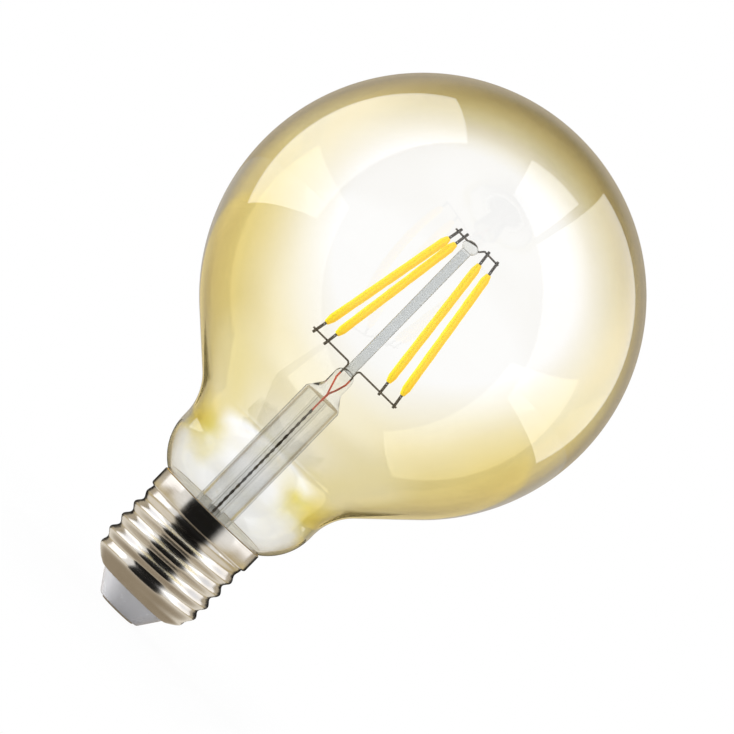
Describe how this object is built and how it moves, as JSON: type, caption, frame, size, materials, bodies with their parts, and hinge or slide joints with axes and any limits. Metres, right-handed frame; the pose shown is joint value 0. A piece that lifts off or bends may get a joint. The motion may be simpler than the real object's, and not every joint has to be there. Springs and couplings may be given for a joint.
{
  "type": "led filament bulb",
  "caption": "Round amber glass globe lamp with slim LED filaments on a glass stem, and a screw cap that holds its driver.",
  "frame": {"origin": "middle of the centre contact's lower face, on the bulb's axis", "axes": "+Z along the bulb's axis from the cap to the globe, +X along the lead wires that carry the right-hand filaments"},
  "size_m": [0.093, 0.093, 0.1375],
  "materials": {
    "amber_glass": "clear amber glass, fading to clear in the neck",
    "clear_glass": "clear polished glass",
    "copper_wire": "red copper coat, satin",
    "nickel_wire": "drawn nickel wire, satin",
    "phosphor": "yellow phosphor silicone, satin",
    "carrier": "white ceramic",
    "led_chip": "polished sapphire",
    "tab_metal": "plated strip, satin",
    "nickel_plate": "bright nickel plating, slightly warm",
    "insulator": "pale grey moulding, satin gloss",
    "contact_plate": "plated contact, satin",
    "cement": "baked brown cement, matt",
    "board": "white solder mask",
    "can": "dark sleeved can",
    "black_package": "moulded black package",
    "resistor_body": "lacquered resistor",
    "tinned_wire": "tinned copper wire"
  },
  "bodies": {
    "root": {"glass_envelope": "amber_glass", "stem_flare": "clear_glass", "exhaust_tube": "clear_glass", "stem_rod": "clear_glass", "cap_shell": "nickel_plate", "cap_insulator": "insulator", "centre_contact": "contact_plate", "cap_cement": "cement", "driver_board": "board", "smoothing_capacitor": "can", "bridge_rectifier": "black_package", "driver_chip": "black_package", "sense_resistors": "resistor_body", "fuse_resistor": "resistor_body", "neutral_wire": "tinned_wire", "outer_lead_left": "tinned_wire", "seal_wire_left": "copper_wire", "inner_lead_left": "nickel_wire", "top_support_left": "nickel_wire", "outer_lead_right": "tinned_wire", "seal_wire_right": "copper_wire", "inner_lead_right": "nickel_wire", "top_support_right": "nickel_wire", "filament_1_coat": "phosphor", "filament_1_carrier": "carrier", "filament_1_chips": "led_chip", "filament_1_lower_tab": "tab_metal", "filament_1_upper_tab": "tab_metal", "filament_2_coat": "phosphor", "filament_2_carrier": "carrier", "filament_2_chips": "led_chip", "filament_2_lower_tab": "tab_metal", "filament_2_upper_tab": "tab_metal", "filament_3_coat": "phosphor", "filament_3_carrier": "carrier", "filament_3_chips": "led_chip", "filament_3_lower_tab": "tab_metal", "filament_3_upper_tab": "tab_metal", "filament_4_coat": "phosphor", "filament_4_carrier": "carrier", "filament_4_chips": "led_chip", "filament_4_lower_tab": "tab_metal", "filament_4_upper_tab": "tab_metal"}
  },
  "joints": []
}
